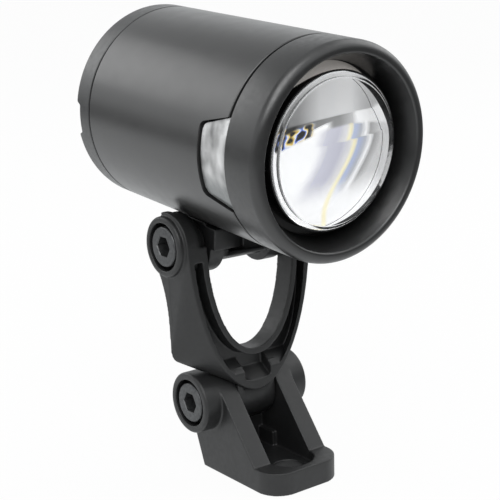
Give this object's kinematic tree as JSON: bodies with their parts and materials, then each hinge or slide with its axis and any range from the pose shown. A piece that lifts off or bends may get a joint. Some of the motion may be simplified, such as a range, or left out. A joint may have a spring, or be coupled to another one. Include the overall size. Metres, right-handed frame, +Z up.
{
  "type": "bike headlight",
  "caption": "Tubular bike headlight with a stepped clear lens and side windows, carried by a U-shaped yoke on a screw-down foot; the yoke and the lamp both tilt.",
  "frame": {"origin": "centre of the foot's screw hole at the underside of the foot", "axes": "+Z up, -Y the way the lamp faces, +X to the right when looking along +Y"},
  "size_m": [0.043, 0.0668, 0.0984],
  "materials": {
    "bracket_plastic": "fine matte moulded",
    "screw_steel": "blackened steel",
    "insert_brass": "knurled",
    "anodised_tube": "black anodised satin",
    "cap_black": "satin moulded",
    "bezel_black": "satin moulded",
    "carrier_black": "gloss moulded",
    "seal_rubber": "moulded rubber",
    "lens_clear": "clear polished",
    "window_clear": "clear with a faceted back",
    "reflector_mirror": "vacuum metallised",
    "led_board_white": "white solder mask",
    "led_phosphor": "phosphor under clear dome",
    "sink_aluminium": "turned",
    "lead_wire": "insulated wire",
    "board_green": "green solder mask",
    "capacitor_sleeve": "shrink sleeve",
    "ferrite": "ferrite",
    "terminal_green": "moulded"
  },
  "bodies": {
    "foot": {"foot_bracket": "bracket_plastic", "lower_screw": "screw_steel", "lower_nut": "screw_steel"},
    "yoke": {"yoke_bracket": "bracket_plastic"},
    "lamp": {"pivot_block": "bracket_plastic", "insert_left": "insert_brass", "insert_right": "insert_brass", "upper_screw_left": "screw_steel", "upper_screw_right": "screw_steel", "block_screws": "screw_steel", "housing_tube": "anodised_tube", "rear_cap": "cap_black", "cap_seal": "seal_rubber", "cap_screws": "screw_steel", "cable_grommet": "seal_rubber", "front_bezel": "bezel_black", "lens_carrier": "carrier_black", "carrier_seal": "seal_rubber", "projector_lens": "lens_clear", "side_window_left": "window_clear", "side_window_right": "window_clear", "reflector": "reflector_mirror", "led_board": "led_board_white", "led_emitter": "led_phosphor", "heat_sink": "sink_aluminium", "led_leads": "lead_wire", "driver_board": "board_green", "store_capacitor": "capacitor_sleeve", "choke": "ferrite", "terminal_block": "terminal_green"}
  },
  "joints": [
    {"name": "lower_tilt", "type": "hinge", "parent": "foot", "child": "yoke", "pos_m": [0, 0.0165, 0.0156], "axis": [1, 0, 0], "range_deg": [-40, 12]},
    {"name": "upper_tilt", "type": "hinge", "parent": "yoke", "child": "lamp", "pos_m": [0, 0.0183, 0.05], "axis": [1, 0, 0], "range_deg": [-35, 14]}
  ]
}
